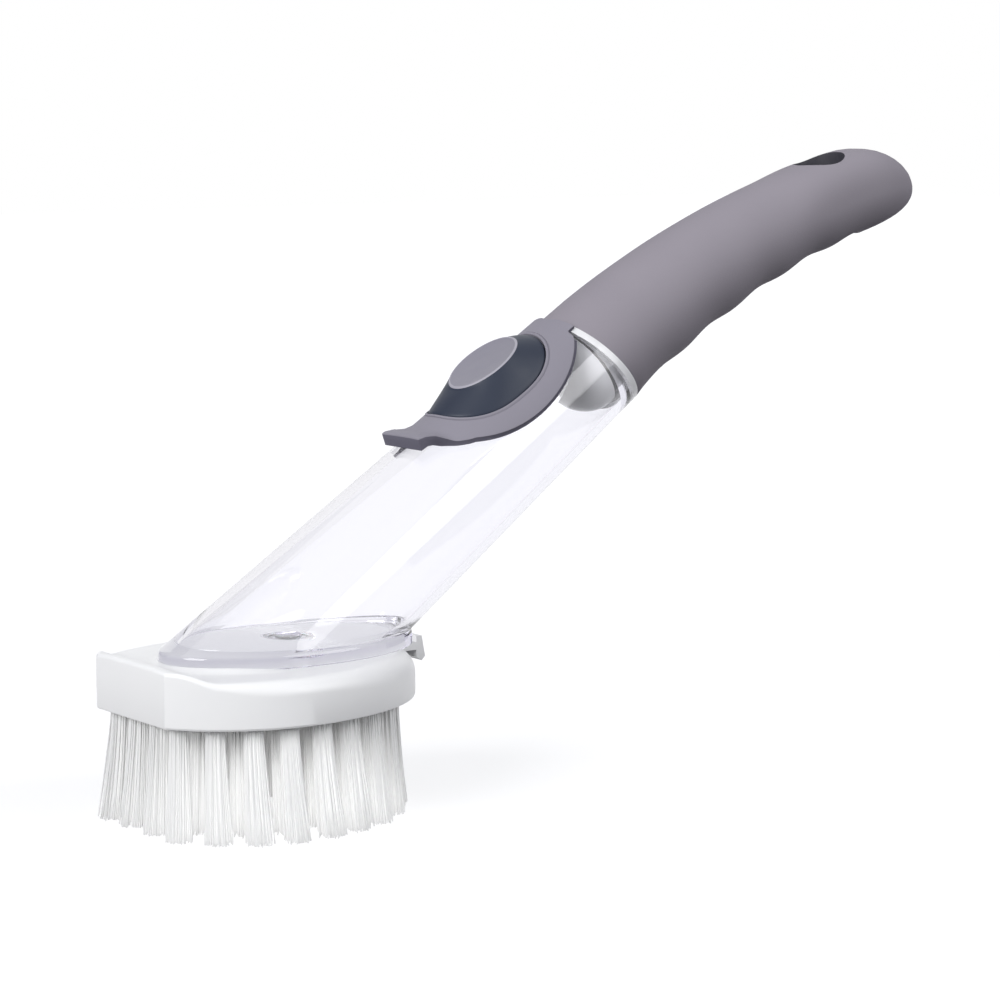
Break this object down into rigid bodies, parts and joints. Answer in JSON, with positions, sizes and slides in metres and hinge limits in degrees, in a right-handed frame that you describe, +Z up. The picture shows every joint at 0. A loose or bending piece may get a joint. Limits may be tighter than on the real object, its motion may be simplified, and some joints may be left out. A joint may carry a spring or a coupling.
{
  "type": "dish wand",
  "caption": "Soap-dispensing dish brush: oval bristle head on a clear leaning reservoir with a hinged fill lid, a pump button and a curved soft-grip handle.",
  "frame": {"origin": "on the surface the bristle tips stand on, below the middle of the head's oval", "axes": "+Z up, +X from the head's flat nose towards the handle, +Y across the head"},
  "size_m": [0.2465, 0.0694, 0.1557],
  "materials": {
    "white_plastic": "satin white moulded plastic",
    "latch_plastic": "satin off-white moulded plastic",
    "bristle": "white nylon filament bundles",
    "staple_metal": "flat anchor plates",
    "clear_plastic": "polished clear plastic",
    "seal_silicone": "translucent silicone",
    "core_plastic": "hard moulded core",
    "grip_rubber": "matte soft-touch grey",
    "lid_silicone": "matte grey silicone",
    "button_silicone": "satin grey silicone"
  },
  "bodies": {
    "wand": {"reservoir_tube": "clear_plastic", "collar_ring": "clear_plastic", "reservoir_foot": "clear_plastic", "outlet_seal": "seal_silicone", "outlet_valve": "seal_silicone", "valve_retainer": "white_plastic", "neck_plug": "clear_plastic", "neck_o_ring": "seal_silicone", "handle_core": "core_plastic", "handle_grip": "grip_rubber"},
    "lid": {"fill_lid": "lid_silicone"},
    "pump": {"pump_button": "button_silicone"},
    "head": {"head_base": "white_plastic", "tufts_outer": "bristle", "tufts_middle": "bristle", "tufts_inner": "bristle", "staples_outer": "staple_metal", "staples_middle": "staple_metal", "staples_inner": "staple_metal"},
    "latch": {"head_latch": "latch_plastic"}
  },
  "joints": [
    {"name": "lid_hinge", "type": "hinge", "parent": "wand", "child": "lid", "pos_m": [0.09103, 0, 0.1135], "axis": [0, 1, 0], "range_deg": [0, 100]},
    {"name": "pump_press", "type": "slide", "parent": "lid", "child": "pump", "axis": [0.5678, 0, -0.8231], "range_m": [0, 0.003], "stiffness_N_per_m": 700},
    {"name": "head_release", "type": "slide", "parent": "wand", "child": "head", "axis": [0, 0, -1], "range_m": [0, 0.03]},
    {"name": "latch_flex", "type": "hinge", "parent": "head", "child": "latch", "pos_m": [0.0406, 0, 0.036], "axis": [0, 1, 0], "range_deg": [0, 10], "stiffness_Nm_per_rad": 0.25}
  ]
}
